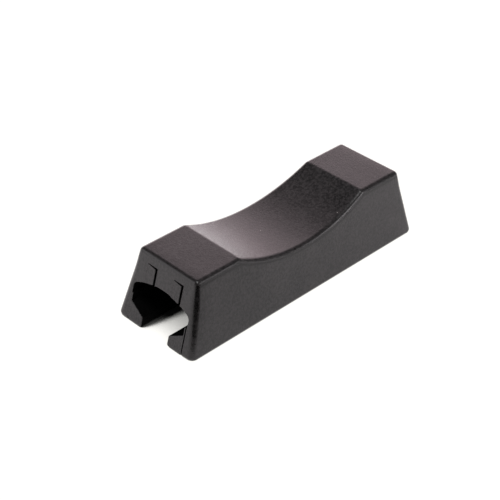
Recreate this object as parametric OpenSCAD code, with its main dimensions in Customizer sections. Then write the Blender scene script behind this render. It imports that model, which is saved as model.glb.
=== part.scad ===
// Chopstick rest in black moulded plastic, in two pieces: a hollow leaning block with a saddle
// across its top, and the frame that is pressed up into it from below. The frame ends in lips
// and tabs that stand flush in the cover's end openings.
// Millimetres. +X runs along the length, +Z is up, and the origin is the middle of the footprint.

/* [Block] */
// Length at the foot, before the edges are rounded
base_l = 60; // [50:0.5:80]
// Width at the foot, before the edges are rounded
base_w = 19.6; // [18:0.1:26]
// Height of the flats at both ends
body_h = 14.2; // [13:0.1:18]
// Lean of the end faces, in degrees from upright
end_lean = 14; // [6:0.1:20]
// Lean of the long faces, in degrees from upright
side_lean = 9.7; // [5:0.1:11]
// Radius of the outer edges
edge_r = 0.7; // [0.4:0.05:0.9]
// Height of the edge rounding that the flat foot cuts away
foot_trim = 0.25; // [0.1:0.05:0.35]

/* [Saddle] */
// Length of the saddle between its two creases
saddle_l = 32.2; // [26:0.1:38]
// Depth of the saddle below the flats
saddle_d = 3.95; // [3:0.05:4.8]

/* [Cover] */
// Thickness of the long walls and the end walls
wall_t = 1.2; // [0.9:0.05:1.25]
// Thickness of the roof, under the flats and under the saddle
roof_t = 1.2; // [0.9:0.05:1.5]

/* [End opening] */
// Width of the end wall left beside the opening, at the foot
jamb_w = 2.7; // [2.65:0.05:3.4]
// Height of the opening at its crown
arch_h = 9.15; // [8.5:0.05:9.8]
// Radius of the arch over the opening
arch_r = 15; // [12:0.5:20]
// Radius of the shoulders that join the arch to the jambs
shoulder_r = 1; // [0.6:0.1:1.6]
// Height of the end wall left over the two notches
land_h = 1.9; // [1.7:0.1:2.6]

/* [Frame] */
// Width of the slot between the two lips
slot_w = 6.9; // [5:0.1:9]
// Height of a lip at its tip
lip_tip_h = 2.1; // [1.4:0.1:2.6]
// Height of a lip where it meets the wall of its rail
lip_root_h = 3.85; // [3.2:0.05:4.6]
// Cut across the lower corner of a lip's tip
lip_break = 0.4; // [0.2:0.05:0.8]
// Cut across the lower edge of a nose, where a rail ends at the end face
nose_break = 0.3; // [0.1:0.05:0.6]
// Height of a rail's wall
rail_h = 5.5; // [5:0.1:6.4]
// How far a rail's wall stands inside the edge of the opening
rail_lap = 0.35; // [0.3:0.01:0.6]
// Thickness of the plate behind each end wall
plate_t = 1; // [0.8:0.1:1.6]
// Width of a tab
tab_w = 2; // [1.5:0.1:2.4]
// Distance between the middles of the two tabs at one end
tab_pitch = 6.6; // [5.6:0.1:7]

/* [Fit] */
// Gap on the side that the frame is pushed against
snug_play = 0.05; // [0.02:0.01:0.1]
// Gap on the other side, which shows as a dark line
seam_play = 0.25; // [0.15:0.01:0.3]
// Gap over the tabs and under the roof
top_play = 0.25; // [0.1:0.01:0.3]
// Gap between an end wall and the plate behind it
end_play = 0.1; // [0.05:0.01:0.2]

/* [Hidden] */

// How far a cutting shape runs past what it cuts
overrun = 1;
// Facets in a full turn of the saddle
saddle_fn = 128;
// Facets in a full turn of the arch and its shoulders
arc_fn = 96;
// Facets in a full turn of the edge rounding
edge_fn = 32;

// The saddle is a cylinder that lies across the block, above it
saddle_r = (pow(saddle_l / 2, 2) + pow(saddle_d, 2)) / (2 * saddle_d);
saddle_axis_h = body_h - saddle_d + saddle_r;

// Ceiling of the cavity under the flats
ceiling_h = body_h - roof_t;

// The opening: an arch, two shoulders and two upright jambs. The shoulders touch the arch
// from inside, so their centres lie arch_r - shoulder_r from its centre.
open_y = base_w / 2 - jamb_w;
arch_mid_h = arch_h - arch_r;
shoulder_y = open_y - shoulder_r;
shoulder_h = arch_mid_h + sqrt(pow(arch_r - shoulder_r, 2) - pow(shoulder_y, 2));
arch_end_y = shoulder_y * arch_r / (arch_r - shoulder_r);

// The frame sits to one side of the middle, by half of the difference of the two gaps
side_play = (snug_play + seam_play) / 2;
frame_shift = (seam_play - snug_play) / 2;
notch_top_h = body_h - land_h;
notch_w = tab_w + 2 * side_play;

// Outer faces of the frame, as insets from the faces of the block
frame_side = wall_t + side_play;
frame_end = wall_t + end_play;
rail_y = open_y - rail_lap;
nose_y = open_y - side_play;
plate_top_h = ceiling_h - top_play;
tab_top_h = notch_top_h - top_play;

// Half length of the block at a height, where its end faces are moved in by inset
function end_x(height, inset) =
    base_l / 2 - inset / cos(end_lean) - height * tan(end_lean);

// Half width of the block at a height, where its long faces are moved in by inset
function side_y(height, inset) =
    base_w / 2 - inset / cos(side_lean) - height * tan(side_lean);

// Prism across the block, between its two end faces, with its two lower edges cut off by foot_cut
module between_ends(inset, low, high, foot_cut = 0) {
    corners = [
        [end_x(low, inset) - foot_cut, low],
        if (foot_cut > 0) [end_x(low + foot_cut, inset), low + foot_cut],
        [end_x(high, inset), high]
    ];
    rotate([90, 0, 0])
        linear_extrude(base_w + 2 * overrun, center = true)
            polygon(concat(corners, [
                for (i = [len(corners) - 1 : -1 : 0]) [-corners[i].x, corners[i].y]
            ]));
}

// Outline between the two long faces, in a plane square to the length
module side_outline(inset, low, high) {
    polygon([
        [-side_y(low, inset), low], [side_y(low, inset), low],
        [side_y(high, inset), high], [-side_y(high, inset), high]
    ]);
}

// Carries an outline in Y and Z along the whole length
module along_length() {
    rotate([90, 0, 90])
        linear_extrude(base_l + 2 * overrun, center = true)
            children();
}

// The cylinder that hollows the saddle, made larger by extra
module saddle_cylinder(extra) {
    translate([0, 0, saddle_axis_h])
        rotate([90, 0, 0])
            cylinder(h = base_w + 2 * overrun, r = saddle_r + extra, center = true, $fn = saddle_fn);
}

// The outer form: a skin drawn over eight balls in its corners, cut flat at the foot, then the saddle
module outer_form() {
    difference() {
        hull()
            for (along = [-1, 1], across = [-1, 1], height = [edge_r - foot_trim, body_h - edge_r])
                translate([along * end_x(height, edge_r), across * side_y(height, edge_r), height])
                    sphere(r = edge_r, $fn = edge_fn);
        translate([-base_l / 2, -base_w / 2, -overrun]) cube([base_l, base_w, overrun]);
        saddle_cylinder(0);
    }
}

// The space inside the cover, which follows the saddle under a roof of even thickness
module cavity() {
    difference() {
        intersection() {
            between_ends(wall_t, -overrun, ceiling_h);
            along_length() side_outline(wall_t, -overrun, ceiling_h);
        }
        saddle_cylinder(roof_t);
    }
}

// Outline of the end opening, without its notches, in Y and Z
module opening_outline() {
    intersection() {
        translate([0, arch_mid_h]) circle(r = arch_r, $fn = arc_fn);
        translate([-arch_end_y, shoulder_h]) square([2 * arch_end_y, arch_h]);
    }
    for (side = [-1, 1])
        translate([side * shoulder_y, shoulder_h]) circle(r = shoulder_r, $fn = arc_fn);
    translate([-open_y, -overrun]) square([2 * open_y, shoulder_h + overrun]);
}

// Two upright bars, one each side of the middle, that reach down into the opening
module bars_outline(width, top) {
    for (side = [-1, 1])
        translate([side * tab_pitch / 2 - width / 2, shoulder_h])
            square([width, top - shoulder_h]);
}

// Outline of both rails in Y and Z: a leaning outer wall, and a lip that slopes down to the slot
module rails_outline() {
    for (side = [-1, 1])
        polygon([
            [side * (slot_w / 2 + lip_break), 0],
            [side * side_y(0, frame_side), 0],
            [side * side_y(rail_h, frame_side), rail_h],
            [side * rail_y, rail_h],
            [side * rail_y, lip_root_h],
            [side * slot_w / 2, lip_tip_h],
            [side * slot_w / 2, lip_break]
        ]);
}

// Hollow leaning block: long walls, end walls with their openings, roof and saddle
module cover() {
    color("#3d3a3a")
        difference() {
            outer_form();
            cavity();
            difference() {
                along_length() {
                    opening_outline();
                    bars_outline(notch_w, notch_top_h);
                }
                between_ends(wall_t + overrun, -2 * overrun, body_h);
            }
        }
}

// Pressed-in frame: two rails with lips, a plate behind each end wall, and two tabs on each plate
module inner_frame() {
    color("#322f2f")
        translate([0, frame_shift, 0]) {
            // rails, between the end walls
            intersection() {
                along_length() rails_outline();
                between_ends(frame_end, 0, rail_h);
            }
            // noses of the rails, which pass through the openings to the end faces
            intersection() {
                along_length()
                    intersection() {
                        rails_outline();
                        translate([-nose_y, 0]) square([2 * nose_y, rail_h]);
                    }
                between_ends(0, 0, rail_h, nose_break);
            }
            // plates and tabs
            difference() {
                union() {
                    intersection() {
                        along_length()
                            difference() {
                                side_outline(frame_side, 0, plate_top_h);
                                opening_outline();
                            }
                        between_ends(frame_end, 0, plate_top_h);
                    }
                    intersection() {
                        along_length()
                            difference() {
                                bars_outline(tab_w, tab_top_h);
                                opening_outline();
                            }
                        between_ends(0, 0, tab_top_h);
                    }
                }
                between_ends(frame_end + plate_t, -overrun, body_h);
            }
        }
}

cover();
inner_frame();
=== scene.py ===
# %% [markdown]
# # A chopstick rest in black moulded plastic
# The real object is two mouldings. The cover is a low block with leaning sides and a saddle across
# its top, hollow underneath. A frame is pressed up into it, and the frame's lips and tabs stand
# flush in the openings at the two ends. Both pieces are drawn here again as fine surfaces, because
# what tells a moulding from a bare solid is its edges: each has its own small radius, and each
# radius carries its own thin light.

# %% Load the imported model
import math

import bmesh
import bpy
import numpy as np
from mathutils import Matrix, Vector


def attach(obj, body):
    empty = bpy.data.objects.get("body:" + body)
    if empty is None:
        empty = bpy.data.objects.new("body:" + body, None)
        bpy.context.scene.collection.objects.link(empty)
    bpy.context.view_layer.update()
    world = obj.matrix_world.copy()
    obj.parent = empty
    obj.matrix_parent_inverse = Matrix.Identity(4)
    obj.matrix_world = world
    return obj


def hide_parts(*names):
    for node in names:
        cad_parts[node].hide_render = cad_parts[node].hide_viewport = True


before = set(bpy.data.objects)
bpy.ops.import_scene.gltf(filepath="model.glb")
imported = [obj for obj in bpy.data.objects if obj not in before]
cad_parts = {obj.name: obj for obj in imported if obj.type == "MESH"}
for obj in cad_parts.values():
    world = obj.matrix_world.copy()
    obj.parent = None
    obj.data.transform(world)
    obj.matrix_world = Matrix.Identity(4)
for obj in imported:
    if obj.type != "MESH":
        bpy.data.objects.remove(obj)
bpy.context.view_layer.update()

# %% [markdown]
# The sizes are the ones that the solids were built from, in millimetres, because small parts read
# best in that unit. Every mesh is scaled to metres at the very end. Only the radii of the edges and
# the seams round the tabs are the scene's own, a little larger, as the photograph shows them. Two
# short functions give the half length and the half width at any height, and every surface below
# leans on them, so the pieces fit each other without any nudging.

# %% Sizes in millimetres
MM = 0.001
BASE_L, BASE_W, BODY_H = 60.0, 19.6, 14.2
END_LEAN, SIDE_LEAN = math.radians(14.0), math.radians(9.7)
EDGE_R, FOOT_TRIM, TOP_R, CORNER_R = 0.7, 0.25, 0.95, 1.2
SADDLE_L, SADDLE_D, CREASE = 32.2, 3.95, 0.16
WALL_T, ROOF_T, INNER_R = 1.2, 1.2, 0.4
JAMB_W, ARCH_H, ARCH_R, SHOULDER_R, LAND_H = 2.7, 9.15, 15.0, 1.0, 1.9
SLOT_W, LIP_TIP_H, LIP_ROOT_H, LIP_BREAK = 6.9, 2.1, 3.85, 0.4
RAIL_H, RAIL_LAP, PLATE_T, TAB_W, TAB_PITCH = 5.5, 0.35, 1.0, 2.0, 6.6
SIDE_PLAY, FRAME_SHIFT, TOP_PLAY, END_PLAY = 0.15, 0.1, 0.25, 0.1
SEAM_BESIDE, SEAM_RIGHT, SEAM_ABOVE, TAB_RISE = 0.08, 0.17, 0.15, 0.30

NOTCH_PLAY = SIDE_PLAY + SEAM_BESIDE
SADDLE_R = ((SADDLE_L / 2) ** 2 + SADDLE_D ** 2) / (2 * SADDLE_D)
SADDLE_AXIS_H = BODY_H - SADDLE_D + SADDLE_R
OPEN_Y = BASE_W / 2 - JAMB_W
SHOULDER_Y = OPEN_Y - SHOULDER_R
ARCH_MID_H = ARCH_H - ARCH_R
SHOULDER_H = ARCH_MID_H + math.sqrt((ARCH_R - SHOULDER_R) ** 2 - SHOULDER_Y ** 2)
NOTCH_TOP_H = BODY_H - LAND_H


def end_x(height, inset):
    """Half length at a height: half the base, less inset / cos(lean), less height x tan(lean)."""
    return BASE_L / 2 - inset / math.cos(END_LEAN) - height * math.tan(END_LEAN)


def side_y(height, inset):
    """Half width at a height: half the base, less inset / cos(lean), less height x tan(lean)."""
    return BASE_W / 2 - inset / math.cos(SIDE_LEAN) - height * math.tan(SIDE_LEAN)


print("saddle radius", round(SADDLE_R, 3), "shoulder height", round(SHOULDER_H, 3))

# %% [markdown]
# ## The camera
# The lens and the place come from a camera that was fitted to the outline and the edges in the
# photograph, so the render can be laid over it. The lens is long, because the object is small and
# was taken from a quarter of a metre away.

# %% Camera
FOCAL_PX, IMAGE_PX, SENSOR = 1293.54, 500, 36.0
CAMERA_PLACE, CAMERA_TURN = (-146.467, -133.731, 144.684), (54.6846, -1.7613, -45.1119)

camera_data = bpy.data.cameras.new("photo_camera")
camera_data.sensor_fit, camera_data.sensor_width = "HORIZONTAL", SENSOR
camera_data.lens = FOCAL_PX / IMAGE_PX * SENSOR
camera_data.clip_start = 10 * MM
camera = bpy.data.objects.new("photo_camera", camera_data)
bpy.context.scene.collection.objects.link(camera)
camera.location = [value * MM for value in CAMERA_PLACE]
camera.rotation_euler = [math.radians(angle) for angle in CAMERA_TURN]
bpy.context.scene.camera = camera
print("lens", round(camera_data.lens, 2), "mm")

# %% [markdown]
# ## Tools for surfaces
# A mould maker rounds an edge by letting a ball roll along it, and so do these surfaces. The ball's
# centre runs one radius inside both faces, and the skin is the ball's own surface between the two
# places where it touches them. In numbers that is a centre, a radius and a direction that turns
# from one face's normal to the other's. Working with whole arrays keeps each surface to a few lines.

# %% Turning a direction, and drawing an arc
def turn(start, stop, share):
    """Unit vectors from start to stop at share t, where w is the angle between the two:
    (sin((1 - t) w) start + sin(t w) stop) / sin w."""
    start, stop = np.broadcast_arrays(np.asarray(start, float), np.asarray(stop, float))
    angle = np.arccos(np.clip((start * stop).sum(-1), -1, 1))[..., None]
    share = np.asarray(share, float)
    first, last = np.sin((1 - share) * angle), np.sin(share * angle)
    blend = first[..., None] * start[..., None, :] + last[..., None] * stop[..., None, :]
    return blend / np.linalg.norm(blend, axis=-1, keepdims=True)


def arc(mid, radius, start, stop, count):
    """Points mid + radius (cos a, sin a), with the angle a going evenly from start to stop."""
    angle = np.linspace(start, stop, count)
    return np.stack([mid[0] + radius * np.cos(angle), mid[1] + radius * np.sin(angle)], -1)


def lift(plane):
    """Turns directions in Y and Z into directions in space, with no part along X."""
    return np.concatenate([np.zeros(plane.shape[:-1] + (1,)), plane], -1)


SIDE_N = np.array([0.0, -math.cos(SIDE_LEAN), math.sin(SIDE_LEAN)])
END_N = np.array([-math.cos(END_LEAN), 0.0, math.sin(END_LEAN)])
print("a right angle in three steps:", turn([1, 0, 0], [0, 1, 0], [0, 0.5, 1]).round(3).tolist())

# %% Outlines with rounded corners
SAMPLES = 17


def along(points, at, reach):
    """Points and left-hand normals of an outline whose corners are rounded: the place at length s is
    the mean of the sharp outline over s - reach to s + reach, and its chord gives the direction."""
    step = np.r_[0, np.cumsum(np.linalg.norm(np.diff(points, axis=0), axis=1))]
    spots = at[:, None] + np.linspace(-reach, reach, SAMPLES)[None, :]
    place = np.stack([np.interp(spots, step, points[:, k]) for k in (0, 1)], -1)
    chord = place[:, -1] - place[:, 0]
    chord /= np.linalg.norm(chord, axis=1, keepdims=True)
    return place.mean(1), np.stack([-chord[:, 1], chord[:, 0]], -1)


def closed_outline(corners, reach):
    """Points and outward normals round a counter-clockwise outline whose corners are rounded over
    reach to either side, with six points on each corner and three between two corners."""
    ring = np.concatenate([corners[-2:], corners, corners[:2]])
    length = np.r_[0, np.cumsum(np.linalg.norm(np.diff(ring, axis=0), axis=1))]
    start, stop = length[2:-2], length[3:-1]
    corner = start[:, None] + reach * np.array([-1, -0.6, -0.2, 0.2, 0.6, 1])
    between = start[:, None] + (stop - start)[:, None] * np.array([0.25, 0.5, 0.75])
    at = np.sort(np.concatenate([corner.ravel(), between.ravel()]))
    place, normal = along(ring, at, reach)
    return place, -normal


square = closed_outline(np.array([[0, 0], [4, 0], [4, 4], [0, 4]]), 0.5)[0]
print("a square with rounded corners has", len(square), "points")

# %% [markdown]
# The two halves of each piece are mirror images, so only a quarter of a surface is worked out, and
# the rest is the same array turned over. A piece is closed by joining its outer skin to its inner
# skin all round the border. Merging the doubled points afterwards also closes the few places where
# a row shrinks to nothing, and Blender then turns every face outwards.

# %% Mirroring and joining
def mirrored(grid, axis, sign):
    """The grid with its mirror image added past its last row (axis 0) or column (axis 1)."""
    keep = np.take(grid, np.arange(grid.shape[axis] - 1), axis=axis)
    return np.concatenate([grid, np.flip(keep, axis) * sign], axis)


def quads(index):
    """Four corners for each cell of a grid of point numbers."""
    cell = [index[:-1, :-1], index[1:, :-1], index[1:, 1:], index[:-1, 1:]]
    return np.stack(cell, -1).reshape(-1, 4)


def shell(outer, inner):
    """Two skins on one grid, joined round all four borders: points, faces, and each face's finish,
    0 outside and under the foot, 1 inside and where the opening cuts through the wall, where a darker
    plastic paints in the shade."""
    count = outer.shape[0] * outer.shape[1]
    top = np.arange(count).reshape(outer.shape[:2])
    low = top + count
    rims = [(top[0], low[0]), (top[-1], low[-1]), (top[:, 0], low[:, 0]), (top[:, -1], low[:, -1])]
    parts = [quads(top), quads(low)] + [quads(np.stack(border)) for border in rims]
    finish = np.repeat([0, 1, 0, 0, 1, 1], [len(part) for part in parts])
    return np.concatenate([outer.reshape(-1, 3), inner.reshape(-1, 3)]), np.concatenate(parts), finish


def tube(rings, shown):
    """Closed rings joined along their length, with a flat cap on both ends: points, faces, and each
    face's finish, 0 where shown says so for a cell and on the first cap, and 1 elsewhere."""
    lengths, around = rings.shape[:2]
    index = np.arange(lengths * around).reshape(lengths, around)
    faces = quads(np.concatenate([index, index[:, :1]], 1)).tolist()
    shown = np.broadcast_to(shown, (lengths - 1, around))
    finish = np.concatenate([np.where(shown, 0, 1).ravel(), [1 - int(shown[0, 0]), 1]])
    return rings.reshape(-1, 3), faces + [index[0].tolist(), index[-1][::-1].tolist()], finish


print("a grid of 3 by 4 points has", len(quads(np.arange(12).reshape(3, 4))), "faces")

# %% Making the mesh
MERGE_M, SLIVER_M, SHARP_ANGLE = 5e-7, 1e-7, math.radians(50)


def make_piece(name, parts, marks=None):
    """One object from several closed surfaces, in metres, with a soft value on each point if asked."""
    points, faces, finish, start = [], [], [], 0
    for part_points, part_faces, part_finish in parts:
        points.append(part_points)
        faces += [[start + corner for corner in face] for face in part_faces]
        finish.append(part_finish)
        start += len(part_points)
    mesh = bpy.data.meshes.new(name)
    mesh.from_pydata((np.concatenate(points) * MM).tolist(), [], faces)
    mesh.polygons.foreach_set("material_index", np.concatenate(finish).astype(np.int32))
    if marks is not None:
        mesh.attributes.new("edge_mark", "FLOAT", "POINT").data.foreach_set("value", marks.ravel())
    form = bmesh.new()
    form.from_mesh(mesh)
    bmesh.ops.remove_doubles(form, verts=form.verts, dist=MERGE_M)
    bmesh.ops.dissolve_degenerate(form, edges=form.edges, dist=SLIVER_M)
    bmesh.ops.recalc_face_normals(form, faces=form.faces)
    open_edges = sum(not edge.is_manifold for edge in form.edges)
    volume = form.calc_volume(signed=True) / MM ** 3
    form.to_mesh(mesh)
    form.free()
    mesh.polygons.foreach_set("use_smooth", np.ones(len(mesh.polygons), bool))
    mesh.set_sharp_from_angle(angle=SHARP_ANGLE)
    piece = bpy.data.objects.new(name, mesh)
    bpy.context.scene.collection.objects.link(piece)
    print(name, len(mesh.polygons), "faces", "volume", round(volume, 1), "mm3", "open edges", open_edges)
    return piece


print("points closer than", MERGE_M / MM, "mm become one")

# %% [markdown]
# ## The cover
# The top is one line seen from the side: a flat, the arc of the saddle, and a flat. On the moulding
# the arc doesn't meet the flats in a knife edge, so the lower of the two heights is taken with a
# small rounded step between them. A block with a Bevel modifier, cut by a cylinder, would look the
# same from afar, but its edges would share one radius, and here the rim, the upright corner, the
# foot and the opening each have their own.

# %% The line of the top
NUDGE = 0.01


def top_height(x, drop):
    """Flat or saddle arc, whichever is lower, less k/4 (1 - |flat - arc| / k)^2 near the crease."""
    flat = BODY_H - drop
    saddle = SADDLE_AXIS_H - np.sqrt((SADDLE_R + drop) ** 2 - np.square(x))
    near = np.clip(1 - np.abs(saddle - flat) / CREASE, 0, 1)
    return np.minimum(saddle, flat) - CREASE / 4 * near ** 2


def top_line(x, drop):
    """Height of the top line at x and its upward unit normal, from the slope over two nudges."""
    slope = (top_height(x + NUDGE, drop) - top_height(x - NUDGE, drop)) / (2 * NUDGE)
    normal = np.stack([-slope, np.zeros_like(slope), np.ones_like(slope)], -1)
    return top_height(x, drop), normal / np.linalg.norm(normal, axis=-1, keepdims=True)


print("saddle floor at", round(float(top_height(np.array(0.0), 0.0)), 3), "mm")

# %% [markdown]
# The opening in each end wall is an outline too: an upright jamb, a shoulder, a piece of arch, a
# notch for a tab, and the crown between the notches. A Boolean could cut it out, but the wall's own
# rows have to end on it if its edge is to be rounded, so it is drawn first and the rows follow it.

# %% The outline of the opening
BELOW_TABLE = 1.0


def opening_half():
    """Half of the opening from below its foot at -Y to past the middle of its crown, the lengths of
    its six turns, and the length of its middle."""
    mid, edge = (0.0, ARCH_MID_H), TAB_PITCH / 2 + TAB_W / 2 + NOTCH_PLAY
    near = edge - TAB_W - 2 * NOTCH_PLAY
    shoulder = math.atan2(SHOULDER_H - ARCH_MID_H, -SHOULDER_Y)
    first, second = math.acos(-edge / ARCH_R), math.acos(-near / ARCH_R)
    parts = [
        np.array([[-OPEN_Y, -BELOW_TABLE]]),
        arc((-SHOULDER_Y, SHOULDER_H), SHOULDER_R, math.pi, shoulder, 17),
        arc(mid, ARCH_R, shoulder, first, 13)[1:],
        np.array([[-edge, NOTCH_TOP_H], [-near, NOTCH_TOP_H]]),
        arc(mid, ARCH_R, second, math.acos(near / ARCH_R), 33),
    ]
    points = np.concatenate(parts)
    length = np.r_[0, np.cumsum(np.linalg.norm(np.diff(points, axis=0), axis=1))]
    jamb, shoulder_end, arch_end, notch_end = np.cumsum([len(part) for part in parts[:4]])
    turns = length[[jamb, shoulder_end - 1, arch_end - 1, arch_end, arch_end + 1, notch_end]]
    return points, turns, 0.5 * (turns[-1] + length[-1])


hole_points, hole_turns, hole_mid = opening_half()
print("the outline turns at", hole_turns.round(2).tolist(), "and its middle is", round(hole_mid, 2))

# %% [markdown]
# The skin of the cover has two parameters. One goes across the block, up a wall, round the rim and
# over the top. The other goes along it, out of the opening, over the end wall, round the upright
# corner and along the wall. The rows of the first lie closest where the opening's outline bends,
# because each of them ends on that outline, and just under the rim, where a faint line runs.

# %% Rows across
HOLE_BEND, CROWN_Y = 0.09, 1.0
JAMB_ROW, SHOULDER_ROW, ARCH_ROW = 0.45, 0.9, 2.0
LINE_ROWS = [0.955, 0.97, 0.985]


def rows_across():
    """Row numbers: 0 to 1 up the wall, 1 to 2 round the rim, 2 to 3 over the top, and for each of
    them the length along the opening's outline that it is joined to."""
    rim_y = side_y(BODY_H - TOP_R, TOP_R)
    tab_out = TAB_W / 2 + NOTCH_PLAY
    across = np.array([TAB_PITCH / 2 + tab_out, TAB_PITCH / 2 - tab_out, CROWN_Y])
    joined = np.array([0, JAMB_ROW, SHOULDER_ROW, ARCH_ROW, *(3 - across / rim_y), 3])
    start = BELOW_TABLE + EDGE_R - FOOT_TRIM + EDGE_R * math.sin(END_LEAN)
    lengths = np.array([start, *hole_turns, hole_mid])
    bend = np.array([-1, -0.5, 0, 0.5, 1]) * HOLE_BEND
    wanted = [np.linspace(hole_turns[0], hole_turns[1], 9), np.linspace(hole_turns[1], hole_turns[2], 7)]
    wanted += [length + bend for length in hole_turns[2:]]
    wanted += [np.linspace(hole_turns[-1] + 0.3, hole_mid, 9)]
    own = [np.linspace(0, 0.7, 5), np.linspace(0.76, 1, 5), LINE_ROWS,
           np.linspace(1, 2, 11), [2.02, 2.5, 3]]
    rows = np.concatenate(own + [np.interp(np.concatenate(wanted), lengths, joined)])
    rows = np.unique(rows.round(5))
    return rows, np.interp(rows, joined, lengths)


row, row_length = rows_across()
up_wall, round_rim, over_top = np.clip(row, 0, 1), np.clip(row - 1, 0, 1), np.clip(3 - row, 0, 1)
on_wall = row < 1
print(len(row), "rows on each side, joined to lengths", row_length[[0, -1]].round(2).tolist())

# %% [markdown]
# Four strips side by side make a quarter of the skin. The first line across is the pattern for the
# corner, the corner for the end wall, and the same ball then runs along the block under the line of
# the top. The upright corners are a little rounder than the top edges, as they are in the
# photograph, so the corner's radius eases into the rim's on the way up.

# %% The line across, and the upright corner
FIRST_H = EDGE_R - FOOT_TRIM + EDGE_R * math.sin(SIDE_LEAN)
CORNER_COLUMNS, EASE_FROM, TIGHTER = 9, 0.72, 0.94


def section_across(inset, drop, rim_r):
    """Place and normal in Y and Z for each row at the block's end: straight up the wall, then ball
    + rim_r n, where n turns from the wall's normal to the top's and the ball runs to the middle."""
    ball_h = BODY_H - drop - rim_r
    wall_h = FIRST_H + up_wall * (ball_h + rim_r * math.sin(SIDE_LEAN) - FIRST_H)
    normal = turn(SIDE_N[1:], [0, 1], round_rim)
    ball = np.stack([-side_y(ball_h, inset + rim_r) * over_top, np.full(len(row), ball_h)], -1)
    place = ball + rim_r * normal
    place[on_wall] = np.stack([-side_y(wall_h, inset), wall_h], -1)[on_wall]
    return place, normal


def corner_strip(inset, rim_r, corner_r, place, across):
    """Round the upright corner and the end's top edge: balls of radius r at c, and c + r n, where n
    turns from the end's normal to the section's. Gives c, the strip and n."""
    ease = np.clip((up_wall - EASE_FROM) / (1 - EASE_FROM), 0, 1)
    radius = corner_r + (TIGHTER * rim_r - corner_r) * ease ** 2 * (3 - 2 * ease)
    ball = place - radius[:, None] * across
    ball = np.concatenate([-end_x(ball[:, 1:], inset + radius[:, None]), ball], 1)
    normal = turn(lift(across), END_N, np.linspace(1, 0, CORNER_COLUMNS))
    return ball, ball[:, None] + radius[:, None, None] * normal, normal


print("the corner's radius goes from", CORNER_R, "to", round(TIGHTER * TOP_R, 3), "mm on the way up")

# %% The end wall
BRIM_COLUMNS, FLAT_SHARES = 5, np.array([0.06, 0.5, 0.94])
END_COLUMNS = BRIM_COLUMNS + len(FLAT_SHARES)
NOTCH_FADE, RAIL_FADE, SHARPER = 0.2, 0.4, 0.93


def end_strip(inset, edge_r, face, corner):
    """From the opening to the upright corner: balls of radius edge_r just inside the opening's
    outline, nearly none in the notches and by the rails, then straight over to the corner."""
    hole, hole_n = along(hole_points, row_length, HOLE_BEND)
    hole_n = -hole_n
    in_notch = np.clip((row_length - hole_turns[2] + NOTCH_FADE) / NOTCH_FADE, 0, 1)
    in_notch *= np.clip((hole_turns[5] + NOTCH_FADE - row_length) / NOTCH_FADE, 0, 1)
    by_rail = np.clip((RAIL_H + RAIL_FADE - hole[:, 1]) / RAIL_FADE, 0, 1)
    radius = (edge_r * (1 - SHARPER * np.maximum(in_notch, by_rail)))[:, None]
    ball = hole - radius * hole_n
    ball = np.concatenate([-end_x(ball[:, 1:], inset + face * radius), ball], 1)
    outward = np.broadcast_to(face * END_N, ball.shape)
    brim_n = turn(outward, lift(hole_n), np.linspace(1, 0, BRIM_COLUMNS))
    brim = ball[:, None] + radius[..., None] * brim_n
    flat = brim[:, -1:] + FLAT_SHARES[None, :, None] * (corner[:, :1] - brim[:, -1:])
    return np.concatenate([brim, flat], 1), radius[0], lift(hole_n[:1])


print("the end wall takes", END_COLUMNS, "columns")

# %% Along the block
FROM_CORNER, ROUND_CREASE, IN_SADDLE = (17.4, 5), (17.0, 15.2, 19), (14.8, 0, 35)


def long_strip(inset, drop, rim_r, corner_ball):
    """From the upright corner to the middle: balls under the line of the top, and ball + rim_r n.
    On the wall, points go evenly from the foot to the rim, as far along as the rim's ball."""
    near_x = corner_ball[-1, 0]
    last_x, count = FROM_CORNER
    far = np.concatenate([np.linspace(1, last_x / -near_x, count)[1:],
                          np.linspace(*ROUND_CREASE) / -near_x, np.linspace(*IN_SADDLE) / -near_x])
    height, top_n = top_line(far * near_x, drop)
    ball = np.stack([far * near_x, np.zeros_like(far), height], -1) - rim_r * top_n
    around = turn(np.broadcast_to(SIDE_N, top_n.shape), top_n, round_rim).transpose(1, 0, 2)
    strip = ball[None] + rim_r * around
    strip[..., 1] -= over_top[:, None] * side_y(ball[:, 2], inset + rim_r)[None]
    rise = ball[:, 2] + rim_r * math.sin(SIDE_LEAN)
    wall_z = FIRST_H + up_wall[:, None] * (rise[None] - FIRST_H)
    foot_x = corner_ball[0, 0]
    bow = corner_ball[:, 0] - (foot_x + up_wall * (near_x - foot_x))
    wall_x = (1 - up_wall[:, None]) * foot_x * far + up_wall[:, None] * ball[:, 0] + bow[:, None] * far
    strip[on_wall] = np.stack([wall_x, -side_y(wall_z, inset), wall_z], -1)[on_wall]
    return strip


print("columns are closest from", ROUND_CREASE[0], "to", ROUND_CREASE[1], "mm, round the crease")

# %% [markdown]
# The foot is finished last, under all four strips at once. Outside, a ball rolls in under the wall
# until it meets the table. Inside, the wall just runs down to it. The cavity is the same surface as
# the outside, moved in by the thickness of the wall.

# %% The foot
FOOT_SHARE = np.linspace(0, 1, 8)[:-1]


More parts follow.
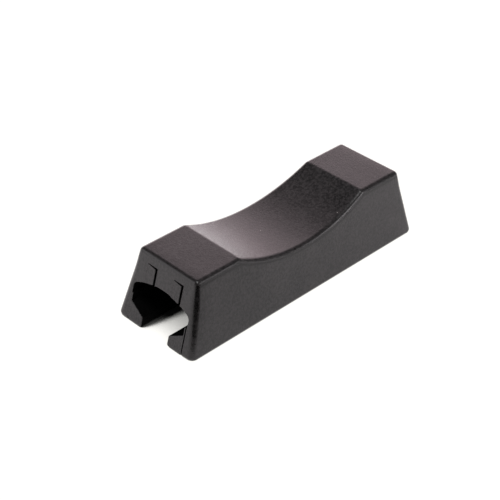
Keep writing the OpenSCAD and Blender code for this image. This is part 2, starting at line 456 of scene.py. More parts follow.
def foot_rows(grid, corner_n, radius, hole_n, outside):
    """Rows from the table to the first row. Outside they are ball + EDGE_R n, where n tilts up from
    the table to the lean of the wall, and inside they follow that lean straight down."""
    long_columns = grid.shape[1] - END_COLUMNS - CORNER_COLUMNS
    first_n = np.concatenate([np.broadcast_to(END_N, (END_COLUMNS, 3)), corner_n,
                              np.broadcast_to(SIDE_N, (long_columns, 3))])
    level = first_n[:, :2] / np.linalg.norm(first_n[:, :2], axis=1, keepdims=True)
    tilt = np.arcsin(first_n[:, 2])
    share = FOOT_SHARE[:, None]
    if not outside:
        down = (1 - share) * grid[0, :, 2]
        out = (down * np.tan(tilt))[..., None] * level
        return np.concatenate([grid[0, :, :2] + out, (grid[0, :, 2] - down)[..., None]], -1)
    ball = grid[0] - EDGE_R * first_n
    dip = -np.arcsin(ball[:, 2] / EDGE_R)
    angle = dip + share * (tilt - dip)
    normal = np.concatenate([np.cos(angle)[..., None] * level, np.sin(angle)[..., None]], -1)
    foot = ball + EDGE_R * normal
    touch, touch_n = foot[:, BRIM_COLUMNS - 1], normal[:, BRIM_COLUMNS - 1]
    brim_n = turn(touch_n, hole_n, np.linspace(1, 0, BRIM_COLUMNS))
    foot[:, :BRIM_COLUMNS] = (touch - radius * touch_n)[:, None] + radius * brim_n
    foot[0, :, 2] = 0.0
    return foot


print("the foot takes", len(FOOT_SHARE), "rows")

# %% One quarter of a skin
HOLE_EDGE_R, HOLE_INNER_R = 0.12, 0.06


def quarter_skin(inset, drop, rim_r, corner_r, edge_r, outside):
    """Rows by columns by 3: the four strips side by side, with the foot's rows below them."""
    place, across = section_across(inset, drop, rim_r)
    corner_ball, corner, corner_n = corner_strip(inset, rim_r, corner_r, place, across)
    end, brim_r, hole_n = end_strip(inset, edge_r, 1 if outside else -1, corner)
    grid = np.concatenate([end, corner, long_strip(inset, drop, rim_r, corner_ball)], 1)
    return np.concatenate([foot_rows(grid, corner_n[0], brim_r, hole_n, outside), grid])


outer_quarter = quarter_skin(0.0, 0.0, TOP_R, CORNER_R, HOLE_EDGE_R, True)
inner_quarter = quarter_skin(WALL_T, ROOF_T, INNER_R, INNER_R, HOLE_INNER_R, False)
print("quarter grid", outer_quarter.shape, "reaches x", outer_quarter[..., 0].min().round(3))

# %% [markdown]
# The finish has to know where the edges are, because handling rubs them smooth, and because the
# material paints shade on the upright corner. So each point gets a number: 0 on a flat, up to 1 in the
# middle of an edge. Below zero it stands for the faint dark line that the photograph shows just under
# the long edge, where the rounding was blended into the wall, and there the material paints a thin
# line of shade.

# %% Marks for the edges
RIM_MARK, FOOT_MARK, FULL_MARK = 0.7, 0.74, 1


def edge_marks():
    """max(a sin(pi t)^0.5, 0.7 sin(pi s)), where t goes round the upright corner, s round the rim or
    the foot, and a up the corner from 0.74 through 1 to 0.7, less the line under the long edge."""
    bend = np.linspace(1, 0, CORNER_COLUMNS) ** 0.8
    corner = np.zeros(outer_quarter.shape[1])
    corner[END_COLUMNS:END_COLUMNS + CORNER_COLUMNS] = np.sin(bend * math.pi).clip(0) ** 0.5
    # The corner's mark peaks near the top of the wall, where the most painted shade goes.
    wear_and_shade = np.interp(row, [0, 0.9, 1.2, 3], [FOOT_MARK, FULL_MARK, RIM_MARK, RIM_MARK])
    wear_and_shade = np.concatenate([np.full(len(FOOT_SHARE), FOOT_MARK), wear_and_shade])
    ring = np.concatenate([np.sin(FOOT_SHARE * math.pi), np.sin(round_rim * math.pi)])
    marks = np.maximum(wear_and_shade[:, None] * corner[None], RIM_MARK * ring[:, None])
    # Painted shade: below zero the mark darkens the base into a thin line under the long edge.
    line = np.interp(row, [LINE_ROWS[0], LINE_ROWS[-1], 1, 1.1], [0, 1, 0.8, 0])
    marks[len(FOOT_SHARE):, END_COLUMNS + CORNER_COLUMNS - 1:] -= line[:, None]
    return marks


outer_mark = edge_marks()
print("marks from", outer_mark.min().round(2), "to", outer_mark.max().round(2))

# %% [markdown]
# The quarter is mirrored across the block and then along it. A Mirror modifier would do the same, but
# arrays keep the points in order, so the marks are mirrored along with them. The piece is made with
# each face's finish, hung on the body it rides on, and the solid it replaces is hidden.

# %% The cover as one closed piece
def whole(quarter, flat=False):
    """The quarter mirrored across the block and then along it."""
    across, along_x = (1, 1) if flat else (np.array([1, -1, 1]), np.array([-1, 1, 1]))
    return mirrored(mirrored(quarter, 0, across), 1, along_x)


outer_skin, inner_skin = whole(outer_quarter), whole(inner_quarter)
outer_mark = whole(outer_mark, True).ravel()
cover_marks = np.concatenate([outer_mark, np.zeros_like(outer_mark)])
cover = make_piece("cover_moulding", [shell(outer_skin, inner_skin)], cover_marks)
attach(cover, "root")
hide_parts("cover")

# %% [markdown]
# ## The pressed-in frame
# A rail runs along each wall inside, with a lip that slopes down to the slot. It is one outline
# carried along the block, from behind one end wall to behind the other. Where it comes out in the
# openings it is narrower, so its nose is an outline of its own. The frame could be cut together
# from its parts, but closed parts that run into each other look the same and keep their own edges.

# %% The rails
FRAME_SIDE, FRAME_END = WALL_T + SIDE_PLAY, WALL_T + END_PLAY
RAIL_Y, NOSE_Y = OPEN_Y - RAIL_LAP, OPEN_Y - SIDE_PLAY
SNUG, BEHIND, RAIL_BEND = 0.01, 0.02, 0.16


def rail_tube():
    """The rail at -Y: its outline at both ends, each on a plane that leans as the end wall does."""
    place, _ = closed_outline(np.array([
        [-SLOT_W / 2, LIP_BREAK], [-SLOT_W / 2, LIP_TIP_H], [-RAIL_Y, LIP_ROOT_H], [-RAIL_Y, RAIL_H],
        [-side_y(RAIL_H, FRAME_SIDE), RAIL_H], [-side_y(0, FRAME_SIDE), 0],
        [-SLOT_W / 2 - LIP_BREAK, 0]]), RAIL_BEND)
    first = np.concatenate([-end_x(place[:, 1:], FRAME_END), place], 1)
    underside = (place[:, 1] < LIP_BREAK / 2) & (np.roll(place[:, 1], -1) < LIP_BREAK / 2)
    return tube(np.stack([first, first * np.array([-1, 1, 1])]), underside[None])


print("a rail has", len(rail_tube()[1]), "faces")

# %% [markdown]
# A nose stands flush with the end wall, also below, where the wall turns in to the foot. So the
# end's own surface is written as a function of height first. The nose's face is then its outline
# drawn in towards its middle a few times, with each point laid on that surface, and the ball rolls
# round the outline to make its edge. On the left the frame is pushed against the jamb, and there
# the edge stays sharp, because a joint as tight as that doesn't show.

# %% The surface of the end
def face_x(height, inset):
    """How far out the end stands: the leaning plane, and below it the foot's ball of radius
    EDGE_R - inset, at ball middle + sqrt(radius^2 - (height - ball height)^2)."""
    middle, radius = EDGE_R - FOOT_TRIM, EDGE_R - inset
    fall = np.minimum(height - middle, radius * math.sin(END_LEAN))
    ball = end_x(middle, EDGE_R) + np.sqrt(radius ** 2 - fall ** 2)
    return np.where(height - middle < radius * math.sin(END_LEAN), ball, end_x(height, inset))


def face_normal(height, inset):
    """Unit normals of that surface: their rise is (height - ball height) / radius, up to the lean's."""
    rise = np.minimum((height - EDGE_R + FOOT_TRIM) / (EDGE_R - inset), math.sin(END_LEAN))
    return np.concatenate([-np.sqrt(1 - rise ** 2), np.zeros_like(rise), rise], 1)


tries = np.array([0.0, 0.62, 5.0])
print("at heights", tries.tolist(), "the end stands out", face_x(tries, 0.0).round(3).tolist())

# %% Things that stand flush in it
LOOPS, ROLL_STEPS, HALF_WAY, ON_TABLE = (0.3, 0.5, 0.62, 0.72, 0.81, 0.9, 0.96), 7, 0.6, 0.02


def flush_tube(corners, reach, radius_at, back):
    """A closed outline that stands flush in the end face: loops drawn in on the face, the rolled
    edge with its own radius at each point, and the sides straight back to an inset."""
    place, normal = closed_outline(corners, reach)
    place[:, 1] = np.maximum(place[:, 1], 0)
    radius = radius_at(place)[:, None]
    mid = place - radius * normal
    ball = np.concatenate([-face_x(mid[:, 1:], radius), mid], 1)
    edge = turn(lift(normal), face_normal(mid[:, 1:], radius), np.linspace(1, 0, ROLL_STEPS))
    rolled = [ball + radius * edge[:, k] for k in range(ROLL_STEPS)]
    heart, touch = mid.mean(0), rolled[0][:, 1:]
    loops = [heart + share * (touch - heart) for share in LOOPS]
    rings = [np.concatenate([-face_x(loop[:, 1:], 0.0), loop], 1) for loop in loops] + rolled
    rings += [np.concatenate([-end_x(place[:, 1:], inset), place], 1) for inset in (HALF_WAY, back)]
    rings = np.stack(rings)
    rings[..., 2] = np.maximum(rings[..., 2], 0)
    on_face = np.arange(len(rings) - 1)[:, None] < len(LOOPS) + ROLL_STEPS - 1
    underside = (place[:, 1] < ON_TABLE) & (np.roll(place[:, 1], -1) < ON_TABLE)
    return tube(rings, on_face | underside[None])


print("a face is drawn in", len(LOOPS), "times")

# %% The noses
SUNK, STRIP_LAP, LIP_EDGE_R, STRIP_BEND, STRIP_EDGE_R = 0.3, 0.15, 0.11, 0.03, 0.02
FREE_NOSE_R, PUSHED_NOSE_R, PUSHED_NOSE_Y = 0.04, 0.01, OPEN_Y - FRAME_SHIFT - SNUG


def nose_parts(outer_y, edge_r):
    """The nose of the rail at -Y, and the thin strip of rail that stands above it by the jamb. The
    lip's edge is sharper by the jamb and at the table, over a quarter and two fifths of a mm."""
    lip = np.array([
        [-SLOT_W / 2, LIP_BREAK], [-SLOT_W / 2, LIP_TIP_H], [-RAIL_Y, LIP_ROOT_H],
        [-outer_y, LIP_ROOT_H], [-outer_y, -SUNK], [-SLOT_W / 2 - LIP_BREAK - SUNK, -SUNK]])
    strip = np.array([[-RAIL_Y, LIP_ROOT_H - STRIP_LAP], [-RAIL_Y, RAIL_H], [-outer_y, RAIL_H],
                      [-outer_y, LIP_ROOT_H - STRIP_LAP]])

    def lip_edge(place):
        jamb = np.clip((outer_y + place[:, 0]) / 0.25, 0, 1)
        foot = np.clip((place[:, 1] - 0.05) / 0.4, 0.25, 1)
        return np.minimum(edge_r + (LIP_EDGE_R - edge_r) * jamb, LIP_EDGE_R * foot)

    def strip_edge(place):
        return np.full(len(place), STRIP_EDGE_R)

    return [flush_tube(lip, RAIL_BEND, lip_edge, FRAME_END + BEHIND),
            flush_tube(strip, STRIP_BEND, strip_edge, FRAME_END + BEHIND)]


print("a nose has", [len(part[1]) for part in nose_parts(NOSE_Y, FREE_NOSE_R)], "faces")

# %% [markdown]
# Behind each end wall stands a plate with the arch cut out of it, and on it two tabs reach forward
# through the notches. What shows of them is a flat patch in the end face. Each is pushed against the
# left of its notch, so there is a dark gap on its right and above it, and none on its left.

# %% The plates
PLATE_FOOT, SHOULDER_STOP, ARCH_START = SHOULDER_H - 1.4, 2.02, -6.0


def plate_shell():
    """The plate at -X: a front and a back skin between the wall's outline and the opening's."""
    shoulder = arc((-SHOULDER_Y, SHOULDER_H), SHOULDER_R, math.pi, SHOULDER_STOP, 7)
    arch_y = np.linspace(ARCH_START, 0, 13)
    arch = np.stack([arch_y, ARCH_MID_H + np.sqrt(ARCH_R ** 2 - arch_y ** 2)], -1)
    inner = np.concatenate([[[-OPEN_Y, PLATE_FOOT]], shoulder, arch])
    top = BODY_H - ROOF_T - TOP_PLAY
    rise = np.linspace(PLATE_FOOT, top, 9)
    side = np.stack([-side_y(rise, FRAME_SIDE), rise], -1)
    roof = np.linspace(side[-1], [0, top], 13)[1:]
    outer = np.concatenate([side, roof])
    flat = mirrored(np.stack([inner, 0.5 * (inner + outer), outer], 1), 0, np.array([-1, 1]))
    skins = [np.concatenate([-end_x(flat[..., 1:], inset), flat], -1)
             for inset in (FRAME_END, FRAME_END + PLATE_T)]
    points, faces, finish = shell(*skins)
    return points, faces, np.ones_like(finish)


print("a plate has", len(plate_shell()[1]), "faces")

# %% The tabs
TAB_BEND, TAB_SHARP_R, TAB_ROLL, TAB_FADE = 0.13, 0.01, 0.08, 0.3


def tab_part(mid_y):
    """A tab at -X: the arch below, a top that rises a little to the left, and a rolled right edge."""
    right, left = mid_y - TAB_W / 2 + SEAM_RIGHT, mid_y + TAB_W / 2 + NOTCH_PLAY - FRAME_SHIFT - SNUG
    top = NOTCH_TOP_H - TOP_PLAY - SEAM_ABOVE
    y = np.linspace(right, left, 5)
    arch = np.stack([y, ARCH_MID_H + np.sqrt(ARCH_R ** 2 - y ** 2)], -1)
    corners = np.concatenate([arch, [[left, top + TAB_RISE], [right, top]]])

    def tab_edge(place):
        return TAB_SHARP_R + TAB_ROLL * np.clip(1 - (place[:, 0] - right) / TAB_FADE, 0, 1)

    return flush_tube(corners, TAB_BEND, tab_edge, FRAME_END + BEHIND)


print("a tab has", len(tab_part(TAB_PITCH / 2)[1]), "faces")

# %% [markdown]
# Both ends are the same parts, mirrored. The whole frame then moves a tenth of a millimetre to the
# left, as a pressed-in piece may, and that is why the dark seams lie on the right of each tab.

# %% The frame as one piece
def moved(part, scale=(1, 1, 1)):
    """The part mirrored where scale is -1, and moved over by the frame's play."""
    points, faces, finish = part
    return points * np.array(scale) + np.array([0, FRAME_SHIFT, 0]), faces, finish


frame_parts = [moved(rail_tube()), moved(rail_tube(), (1, -1, 1))]
for end in (1, -1):
    frame_parts.append(moved(plate_shell(), (end, 1, 1)))
    frame_parts += [moved(part, (end, 1, 1)) for part in nose_parts(NOSE_Y, FREE_NOSE_R)]
    frame_parts += [moved(part, (end, -1, 1)) for part in nose_parts(PUSHED_NOSE_Y, PUSHED_NOSE_R)]
    frame_parts += [moved(tab_part(side * TAB_PITCH / 2), (end, 1, 1)) for side in (-1, 1)]
inner_frame = make_piece("inner_frame_moulding", frame_parts)
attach(inner_frame, "root")
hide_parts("inner_frame")

# %% [markdown]
# ## The finish
# The plastic is black and sandblasted in the mould, so its light comes almost all from its surface.
# Three effects are node groups, because both mouldings use them: the fine grain, the polish that
# handling leaves on the edges, and a few specks of dust on what faces up. Pictures of a surface
# could be laid on instead, but they have to be unwrapped and show their grid close up, while noise
# that is worked out in space fits any shape. Each group puts out a height or a mask, and the shader
# stays in the material.

# %% Helpers for nodes
def feed(tree, value, socket):
    """Puts a number, a colour of three numbers or another node's output into a socket."""
    if isinstance(value, (int, float)):
        socket.default_value = value
    elif isinstance(value, tuple):
        socket.default_value = (*value, 1)
    elif value is not None:
        tree.links.new(value, socket)


def math_node(tree, kind, first, second=None, third=None):
    """A Math node with numbers or sockets for its inputs; gives its output socket."""
    node = tree.nodes.new("ShaderNodeMath")
    node.operation = kind
    for value, socket in zip((first, second, third), node.inputs):
        feed(tree, value, socket)
    return node.outputs[0]


def mix_node(tree, factor, first, second, kind="RGBA"):
    """A Mix node from first to second, for colours or numbers; gives its output socket."""
    node = tree.nodes.new("ShaderNodeMix")
    node.data_type = kind
    for label, value in (("Factor", factor), ("A", first), ("B", second)):
        feed(tree, value, node.inputs[label])
    return node.outputs["Result"]


def range_node(tree, value, low, high, to_low=0.0, to_high=1.0):
    """A Map Range node, held inside its range."""
    node = tree.nodes.new("ShaderNodeMapRange")
    tree.links.new(value, node.inputs["Value"])
    for label, number in (("From Min", low), ("From Max", high), ("To Min", to_low), ("To Max", to_high)):
        node.inputs[label].default_value = number
    return node.outputs["Result"]


def noise_node(tree, vector, scale, detail=2.0, rough=0.5):
    """A Noise texture on a vector; scale may be a number or a socket."""
    node = tree.nodes.new("ShaderNodeTexNoise")
    node.inputs["Detail"].default_value, node.inputs["Roughness"].default_value = detail, rough
    tree.links.new(vector, node.inputs["Vector"])
    feed(tree, scale, node.inputs["Scale"])
    return node.outputs["Fac"]


print("five helpers for nodes")

# %% Helpers for groups and materials
def new_group(name, inputs, outputs):
    """A shader node group with named number inputs (name, default) and number outputs."""
    group = bpy.data.node_groups.new(name, "ShaderNodeTree")
    for label, value in inputs:
        socket = group.interface.new_socket(name=label, in_out="INPUT", socket_type="NodeSocketFloat")
        socket.default_value = value
    for label in outputs:
        group.interface.new_socket(name=label, in_out="OUTPUT", socket_type="NodeSocketFloat")
    place = group.nodes.new("ShaderNodeTexCoord").outputs["Object"]
    return group, place, group.nodes.new("NodeGroupInput"), group.nodes.new("NodeGroupOutput")


def new_finish(name):
    """A material with nodes: the material, its tree and its shader."""
    material = bpy.data.materials.new(name)
    material.use_nodes = True
    return material, material.node_tree, material.node_tree.nodes["Principled BSDF"]


print("each group reads the place on the object, so its pattern stays on the piece")

# %% [markdown]
# Sandblasting leaves pits of two sizes, so the height adds a broad noise to a fine one. The fleck
# is a third noise between them, for the small differences in tone, and the cloud is a wide one that
# keeps a face from looking flat. Sizes are given in millimetres.

# %% Sandblasted grain
GRAIN_SIZE, CLOUD_SIZE, METRE = 0.22, 5.0, 1000.0
BROADER, FLECK_SCALE, BROAD_SHARE = 0.37, 0.62, 0.5
FLECK_RANGE, CLOUD_RANGE = (0.40, 0.60), (0.3, 0.7)

grain, coords, grain_in, grain_out = new_group(
    "sandblasted_grain", [("Grain Size", GRAIN_SIZE), ("Cloud Size", CLOUD_SIZE)],
    ["Height", "Fleck", "Cloud"])
fine_scale = math_node(grain, "DIVIDE", METRE, grain_in.outputs["Grain Size"])
cloud_scale = math_node(grain, "DIVIDE", METRE, grain_in.outputs["Cloud Size"])
fine = noise_node(grain, coords, fine_scale, 3.0, 0.65)
broad = noise_node(grain, coords, math_node(grain, "MULTIPLY", fine_scale, BROADER))
height = math_node(grain, "MULTIPLY_ADD", broad, BROAD_SHARE, fine)
fleck = noise_node(grain, coords, math_node(grain, "MULTIPLY", fine_scale, FLECK_SCALE), 2.0, 0.6)
cloud = noise_node(grain, coords, cloud_scale)
grain.links.new(height, grain_out.inputs["Height"])
grain.links.new(range_node(grain, fleck, *FLECK_RANGE), grain_out.inputs["Fleck"])
grain.links.new(range_node(grain, cloud, *CLOUD_RANGE), grain_out.inputs["Cloud"])
print("grain of", GRAIN_SIZE, "mm unless a material asks for another")

# %% [markdown]
# Handling polishes a moulding on its edges first, and in patches. The Pointiness of a Geometry node
# could find the edges, but it changes with how fine the mesh is. The points of the cover know where
# they lie on an edge, so the number stored on them is used, less a little where a noise says so.

# %% Rubbed edges
PATCHES, PATCHINESS, PATCH_RANGE = 700.0, 0.25, (0.35, 0.65)

polish, coords, polish_in, polish_out = new_group(
    "rubbed_edge", [("Edge", 0.0), ("Patchiness", PATCHINESS)], ["Mask"])
patch = range_node(polish, noise_node(polish, coords, PATCHES, 3.0, 0.6), *PATCH_RANGE)
loss = math_node(polish, "MULTIPLY", patch, polish_in.outputs["Patchiness"])
kept = math_node(polish, "SUBTRACT", 1.0, loss)
edge_left = math_node(polish, "MULTIPLY", polish_in.outputs["Edge"], kept)
polish.links.new(edge_left, polish_out.inputs["Mask"])
print("edges rubbed in patches of about", round(METRE / PATCHES, 1), "mm")

# %% [markdown]
# Dust could be a few hundred tiny balls, but a mask is lighter and follows every curve. Space is cut
# into cells by a Voronoi texture, and one cell in eighty holds a speck at its middle. Dust settles,
# so a speck shows only where the face looks up.

# %% Dust
DUST_CELLS, DUST_AMOUNT, DUST_SIZE, LOOKS_UP = 900.0, 0.0125, 0.09, (0.6, 0.8)

dust, coords, dust_in, dust_out = new_group(
    "dust_speck", [("Amount", DUST_AMOUNT), ("Size", DUST_SIZE)], ["Mask"])
cells = dust.nodes.new("ShaderNodeTexVoronoi")
cells.inputs["Scale"].default_value = DUST_CELLS
dust.links.new(coords, cells.inputs["Vector"])
chosen = dust.nodes.new("ShaderNodeSeparateColor")
dust.links.new(cells.outputs["Color"], chosen.inputs["Color"])
picked = math_node(dust, "LESS_THAN", chosen.outputs["Red"], dust_in.outputs["Amount"])
near = math_node(dust, "LESS_THAN", cells.outputs["Distance"], dust_in.outputs["Size"])
facing = dust.nodes.new("ShaderNodeSeparateXYZ")
dust.links.new(dust.nodes.new("ShaderNodeNewGeometry").outputs["Normal"], facing.inputs["Vector"])
settled = range_node(dust, facing.outputs["Z"], *LOOKS_UP)
specks = math_node(dust, "MULTIPLY", picked, near)
dust.links.new(math_node(dust, "MULTIPLY", specks, settled), dust_out.inputs["Mask"])
print("one cell in", round(1 / DUST_AMOUNT), "holds a speck, on what faces up")

# %% [markdown]
# The material lays the effects over each other: two near-black tones by fleck and cloud, the even tone
# of a rubbed edge, a painted shade of deeper black that is strongest down the upright corner, a little
# on the rims and the foot, and on the faint line under the long edge, and the dust on top. A rubbed
# place is smoother and has lost most of its grain, so its roughness and the height of its bump go down
# with the same mask.

# %% The moulded plastic
# The deep tone is painted shade: a near-black for the dark band down the upright corner, the edges and
# the line under the long edge.
RUBBED_TONE, PAINTED_SHADE_TONE, DUST_TONE = (0.016, 0.0145, 0.0145), (0.004, 0.0036, 0.0036), (0.35, 0.33, 0.31)
FLECK_SHARE, CLOUD_SHARE, FLECK_ROUGH, MEAN_HEIGHT = 0.7, 0.3, 0.08, 0.75
RUBBED_ROUGH, RUBBED_GRAIN, LINE_DEPTH, CORNER_SHADE_RANGE = -0.13, -0.9, -1.2, (0.64, 0.80)


def plastic_tone(tree, grain_node, rubbed, dust_mask, dark, light):
    """Base colour: dark to light by 0.7 fleck + 0.3 cloud, then the rubbed tone, the deep tone of painted
    shade and the dust tone, each mixed in by its own mask. The painted shade is strongest where the
    edge is marked most, and the mask of its line is the negative part of the edge's."""
    tone = math_node(tree, "MULTIPLY", grain_node.outputs["Fleck"], FLECK_SHARE)
    tone = math_node(tree, "MULTIPLY_ADD", grain_node.outputs["Cloud"], CLOUD_SHARE, tone)
    colour = mix_node(tree, tone, dark, light)
    colour = mix_node(tree, rubbed, colour, RUBBED_TONE)
    # Painted shade: mixed in where the edge mark is high, and on the line under the long edge.
    corner_painted_shade = range_node(tree, rubbed, *CORNER_SHADE_RANGE)
    line = math_node(tree, "MULTIPLY", rubbed, LINE_DEPTH)
    colour = mix_node(tree, math_node(tree, "MAXIMUM", corner_painted_shade, line), colour, PAINTED_SHADE_TONE)
    return mix_node(tree, dust_mask, colour, DUST_TONE)


def moulded_plastic(name, dark, light, gloss, grain_size, depth, shine=0.5):
    """Black plastic: two near-black tones by fleck and cloud, rough by gloss, fine bump by grain."""
    material, tree, shader = new_finish(name)
    shader.inputs["IOR"].default_value = 1.5
    shader.inputs["Specular IOR Level"].default_value = shine
    grain_node, edge_node, dust_node = (tree.nodes.new("ShaderNodeGroup") for _ in range(3))
    grain_node.node_tree, edge_node.node_tree, dust_node.node_tree = grain, polish, dust
    grain_node.inputs["Grain Size"].default_value = grain_size
    mark = tree.nodes.new("ShaderNodeAttribute")
    mark.attribute_name = "edge_mark"
    tree.links.new(mark.outputs["Fac"], edge_node.inputs["Edge"])
    rubbed = edge_node.outputs["Mask"]
    colour = plastic_tone(tree, grain_node, rubbed, dust_node.outputs["Mask"], dark, light)
    tree.links.new(colour, shader.inputs["Base Color"])
    rough = math_node(tree, "MULTIPLY_ADD", grain_node.outputs["Fleck"], FLECK_ROUGH, gloss)
    rough = math_node(tree, "MULTIPLY_ADD", rubbed, RUBBED_ROUGH, rough)
    tree.links.new(rough, shader.inputs["Roughness"])
    bump = tree.nodes.new("ShaderNodeBump")
    bump.inputs["Strength"].default_value = 1.0
    bump.inputs["Distance"].default_value = depth * MM
    left_of_grain = math_node(tree, "MULTIPLY_ADD", rubbed, RUBBED_GRAIN, 1.0)
    relief = math_node(tree, "SUBTRACT", grain_node.outputs["Height"], MEAN_HEIGHT)
    tree.links.new(math_node(tree, "MULTIPLY", relief, left_of_grain), bump.inputs["Height"])
    tree.links.new(bump.outputs["Normal"], shader.inputs["Normal"])
    print(name, "roughness about", gloss)
    return material


print("a rubbed edge keeps", round(1 + RUBBED_GRAIN, 1), "of its grain")

# %% The two plastics, and the inside with painted shade
COVER_LIGHT, FRAME_LIGHT, BLACK = (0.033, 0.0295, 0.0305), (0.038, 0.034, 0.035), (0.001, 0.001, 0.001)
HOLLOW_SHADE_DARK, HOLLOW_SHADE_LIGHT = (0.0015, 0.0015, 0.0015), (0.003, 0.003, 0.003)

cover.data.materials.append(moulded_plastic(
    "cover_black_plastic", BLACK, COVER_LIGHT, gloss=0.36, grain_size=0.30, depth=0.034))
inner_frame.data.materials.append(moulded_plastic(
    "frame_black_plastic", BLACK, FRAME_LIGHT, gloss=0.38, grain_size=0.30, depth=0.036))
# The hollow gets a darker and duller copy of the plastic, which paints in its shade.
inside = moulded_plastic(
    "inside_painted_shade_plastic", HOLLOW_SHADE_DARK, HOLLOW_SHADE_LIGHT, gloss=0.55, grain_size=0.30, depth=0.01,
    shine=0.02)
cover.data.materials.append(inside)
inner_frame.data.materials.append(inside)
print("the hollow is darker and duller than the outside, so it reads as plain black")

# %% [markdown]
# ## Floor and light
# The photograph stands the rest on a white sweep that is lit until it bleaches out. A lamp as strong
# as that would light the plastic too. So to everything but the camera the floor is pale paint that
# throws light back up, and to the camera it is nearly black and gives off a white of its own, which
# is held back where the block shuts off the sky.

# %% A plain floor
FLOOR_REACH, FLOOR_PAINT, FLOOR_SEEN_PAINT = 3.0, (0.80, 0.795, 0.78), (0.09, 0.09, 0.085)


def plain_mesh(name, corners, faces):
    """An object from its corners in metres and its faces, as they are."""
    mesh = bpy.data.meshes.new(name)
    mesh.from_pydata(corners, [], faces)
    piece = bpy.data.objects.new(name, mesh)
    bpy.context.scene.collection.objects.link(piece)
    return piece


floor = plain_mesh("studio_floor", [(x * FLOOR_REACH, y * FLOOR_REACH, 0) for x, y in (
    (-1, -1), (1, -1), (1, 1), (-1, 1))], [(0, 1, 2, 3)])
floor_finish, floor_tree, floor_shader = new_finish("white_sweep")
floor_shader.inputs["Roughness"].default_value = 0.9
floor_shader.inputs["Specular IOR Level"].default_value = 0.1
path = floor_tree.nodes.new("ShaderNodeLightPath")
by_camera = path.outputs["Is Camera Ray"]
paint = mix_node(floor_tree, by_camera, FLOOR_PAINT, FLOOR_SEEN_PAINT)
floor_tree.links.new(paint, floor_shader.inputs["Base Color"])
spot = floor_tree.nodes.new("ShaderNodeSeparateXYZ")
floor_place = floor_tree.nodes.new("ShaderNodeTexCoord").outputs["Object"]
floor_tree.links.new(floor_place, spot.inputs["Vector"])
floor.data.materials.append(floor_finish)
print("floor of", 2 * FLOOR_REACH, "m across")

# %% [markdown]
# The soft dark round the foot could be left to the lamp, but the floor's own white would wash it
# out. An Ambient Occlusion node reads how much of the sky is left. One reads it widely, and a second
# one close by and leaning to the left, so the floor darkens beside whatever stands on its left.

# %% The white that the camera sees
WIDE_REACH, CLOSE_REACH, LEFT_LEAN = 20, 4, (0, 0.7, 0.7)
RIGHT_OF, WIDE_SHARE = (-7 * MM, -6 * MM), 0.82
CLEAR_RAMP, WHITE_RAMP = (0.725, 0.92), (0.0, 0.55, 0.07, 1.02)


def open_sky(reach, lean=None):
    """The share of the sky over a place on the floor that nothing hides within a reach in mm; with a
    lean it counts the sky round that direction."""
    node = floor_tree.nodes.new("ShaderNodeAmbientOcclusion")
    node.inputs["Distance"].default_value = reach * MM
    if lean:
        aim = floor_tree.nodes.new("ShaderNodeCombineXYZ")
        for value, socket in zip(lean, aim.inputs):
            feed(floor_tree, value, socket)
        floor_tree.links.new(aim.outputs["Vector"], node.inputs["Normal"])
    return node.outputs["AO"]


wide_sky = open_sky(WIDE_REACH)
right_side = range_node(floor_tree, spot.outputs["Y"], *RIGHT_OF, 1.0, 0.0)
left_sky = math_node(floor_tree, "MAXIMUM", open_sky(CLOSE_REACH, LEFT_LEAN), right_side)
clear = math_node(floor_tree, "MULTIPLY_ADD", wide_sky, WIDE_SHARE, left_sky)
clear = range_node(floor_tree, clear, *CLEAR_RAMP)
white = math_node(floor_tree, "MULTIPLY", range_node(floor_tree, wide_sky, *WHITE_RAMP), clear)
white = math_node(floor_tree, "MULTIPLY", white, by_camera)
print("the floor reads the sky within", WIDE_REACH, "and", CLOSE_REACH, "mm")

# %% [markdown]
# The plastic mirrors the floor at a low angle, and there the sweep matters more than the lamp. It is
# bright behind the block and dark towards the camera. A bent sheet behind the block would be the
# plain way to make it, but the fade is easier to set on a flat floor. So reflections see three soft
# ramps on it, one straight back and one to each side.

# %% The glow that reflections see
BACK_WAY, BACK_RAMP = (0.77, 0.64), (32 * MM, 90 * MM, 0.49, 2.6)
LEFT_RAMP, RIGHT_RAMP = (8 * MM, 30 * MM, 0.0, 0.26), (10 * MM, 44 * MM, 0.0, 0.13)
GLOW_CLEAR, SEEN_WHITE, MIRRORED_WHITE = (0.30, 0.55), (1, 0.99, 0.955), (1, 0.955, 0.975)

back = math_node(floor_tree, "MULTIPLY", spot.outputs["X"], BACK_WAY[0])
back = math_node(floor_tree, "MULTIPLY_ADD", spot.outputs["Y"], BACK_WAY[1], back)
back = range_node(floor_tree, back, *BACK_RAMP)
left = range_node(floor_tree, spot.outputs["Y"], *LEFT_RAMP)
right = range_node(floor_tree, spot.outputs["X"], *RIGHT_RAMP)
glow = math_node(floor_tree, "ADD", math_node(floor_tree, "ADD", back, left), right)
glow = math_node(floor_tree, "MULTIPLY", glow, range_node(floor_tree, wide_sky, *GLOW_CLEAR))
mirrored_ray = math_node(
    floor_tree, "MAXIMUM", path.outputs["Is Glossy Ray"], path.outputs["Is Transmission Ray"])
lifted = math_node(floor_tree, "MULTIPLY_ADD", mirrored_ray, glow, white)
floor_tree.links.new(lifted, floor_shader.inputs["Emission Strength"])
glow_tint = mix_node(floor_tree, mirrored_ray, SEEN_WHITE, MIRRORED_WHITE)
floor_tree.links.new(glow_tint, floor_shader.inputs["Emission Color"])
print("the glow behind the block reaches", BACK_RAMP[-1])

# %% [markdown]
# The room is worked out from directions alone. A white sheet hangs behind the block, brightest at
# the floor and cut off at the ceiling, with a soft box on the left and a small strong one on the
# right. The rest is nearly dark. So the near half of the saddle, which is seen at a glancing angle,
# mirrors the sheet and shines, and the far half, which turns to the camera, stays nearly black. Area
# lamps could stand there too, but dark plastic mirrors their hard edges, and a ramp has none. The
# camera itself sees plain white.

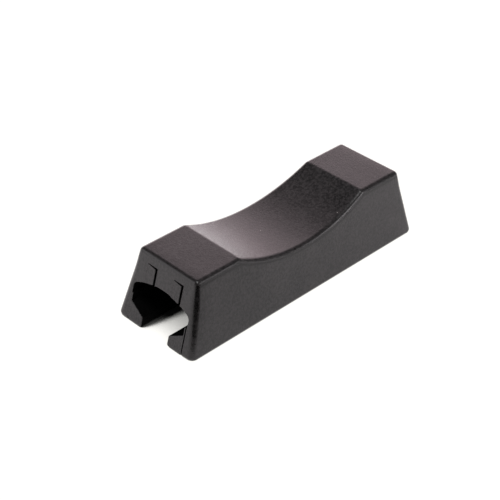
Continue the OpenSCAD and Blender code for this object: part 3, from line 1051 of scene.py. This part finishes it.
# %% Directions in the room
world = bpy.data.worlds.new("white_room")
bpy.context.scene.world = world
world.use_nodes = True
room = world.node_tree
backdrop = room.nodes["Background"]
direction = room.nodes.new("ShaderNodeTexCoord").outputs["Generated"]
axes = room.nodes.new("ShaderNodeSeparateXYZ")
room.links.new(direction, axes.inputs["Vector"])


def toward(azimuth, elevation):
    """How far a direction points at a place in the room: 1 straight at it, 0 at a right angle."""
    level, rise = math.cos(math.radians(elevation)), math.sin(math.radians(elevation))
    turned = math.radians(azimuth)
    facing = room.nodes.new("ShaderNodeVectorMath")
    facing.operation = "DOT_PRODUCT"
    room.links.new(direction, facing.inputs[0])
    facing.inputs[1].default_value = (level * math.cos(turned), level * math.sin(turned), rise)
    return facing.outputs["Value"]


def box_glow(azimuth, elevation, full, fade, strength):
    """A round soft box: full strength within one angle, nothing past another."""
    low, high = math.cos(math.radians(fade)), math.cos(math.radians(full))
    return range_node(room, toward(azimuth, elevation), low, high, 0.0, strength)


print("azimuth 0 lies along +X, and 90 along +Y")

# %% The room
REST_OF_ROOM, CAMERA_WHITE = 0.12, 1.0
AWAY_TINT, SHEET_TINT = (1, 0.96, 0.985), (1, 0.82, 0.865)

sheet = range_node(room, toward(azimuth=40, elevation=0), 0.66, 0.83)
level = range_node(room, axes.outputs["Z"], 0.0, 0.34, to_low=3.05, to_high=1.70)
ceiling = range_node(room, axes.outputs["Z"], 0.62, 0.74, to_low=1.0, to_high=0.0)
strength = math_node(room, "MULTIPLY", math_node(room, "MULTIPLY", sheet, level), ceiling)
left_box = box_glow(azimuth=137, elevation=18, full=10, fade=26, strength=1.7)
right_box = box_glow(azimuth=-66, elevation=22, full=6, fade=15, strength=7.0)
for part in (left_box, right_box, REST_OF_ROOM):
    strength = math_node(room, "ADD", strength, part)
seen = room.nodes.new("ShaderNodeLightPath").outputs["Is Camera Ray"]
room.links.new(mix_node(room, seen, strength, CAMERA_WHITE, "FLOAT"), backdrop.inputs["Strength"])
room.links.new(mix_node(room, sheet, AWAY_TINT, SHEET_TINT), backdrop.inputs["Color"])
print("a sheet and two soft boxes, and", REST_OF_ROOM, "for the rest of the room")

# %% [markdown]
# One lamp hangs over the camera's side and lights floor and block gently from above. A sun would do
# as well, but its shadow has a hard edge, and the wider a lamp is, the softer its shadow.

# %% The lamp
LAMP_PLACE, LAMP_AIM, LAMP_SIZE, LAMP_POWER = (-111, -107, 475), (0, 0, 5), 170, 1.0


def soft_lamp(name, place, aim, size, power):
    """A square area lamp at a place in millimetres, turned to look at the aim."""
    data = bpy.data.lights.new(name, "AREA")
    data.shape, data.size, data.energy = "SQUARE", size * MM, power
    lamp = bpy.data.objects.new(name, data)
    lamp.location = [value * MM for value in place]
    look = Vector([a - b for a, b in zip(aim, place)])
    lamp.rotation_euler = look.to_track_quat("-Z", "Y").to_euler()
    bpy.context.scene.collection.objects.link(lamp)
    print(name, power, "W")


soft_lamp("top_box", LAMP_PLACE, LAMP_AIM, LAMP_SIZE, LAMP_POWER)

# %% [markdown]
# The dark line down the near corner is the last thing. A rounded corner mirrors a wide slice of the
# room, so on a table it would pick up a light streak. A photographer holds a dark card before it,
# and so does this scene: the card lies on the floor by the corner and stands up further off, and
# only reflections see it.

# %% Dark card
CARD_FOOT, CARD_AZIMUTH = np.array([-28.5, -9.0]), math.radians(246)
CARD_BENDS = [(11, 13, 0.3), (40, 54, 0.3), (40, 54, 75)]

away = np.array([math.cos(CARD_AZIMUTH), math.sin(CARD_AZIMUTH)])
beside = np.array([-away[1], away[0]])
card_corners = [(*(CARD_FOOT + far * away + side * half * beside) * MM, high * MM)
                for far, half, high in CARD_BENDS for side in (-1, 1)]
card = plain_mesh("dark_card", card_corners, [(0, 1, 3, 2), (2, 3, 5, 4)])
card.visible_camera = card.visible_diffuse = card.visible_shadow = False
card_finish, _, card_shader = new_finish("dark_card")
card_shader.inputs["Base Color"].default_value = (0.01, 0.01, 0.01, 1)
card_shader.inputs["Roughness"].default_value = 1.0
card.data.materials.append(card_finish)
print("the card stands", CARD_BENDS[-1][0], "mm off the corner, and its foot", CARD_BENDS[0][0], "mm")

# %% [markdown]
# ## Done
# The colours are written for a plain view transform, and the volume of each finished piece is
# printed as it is made.

# %% Finish
bpy.context.scene.view_settings.view_transform = "Standard"
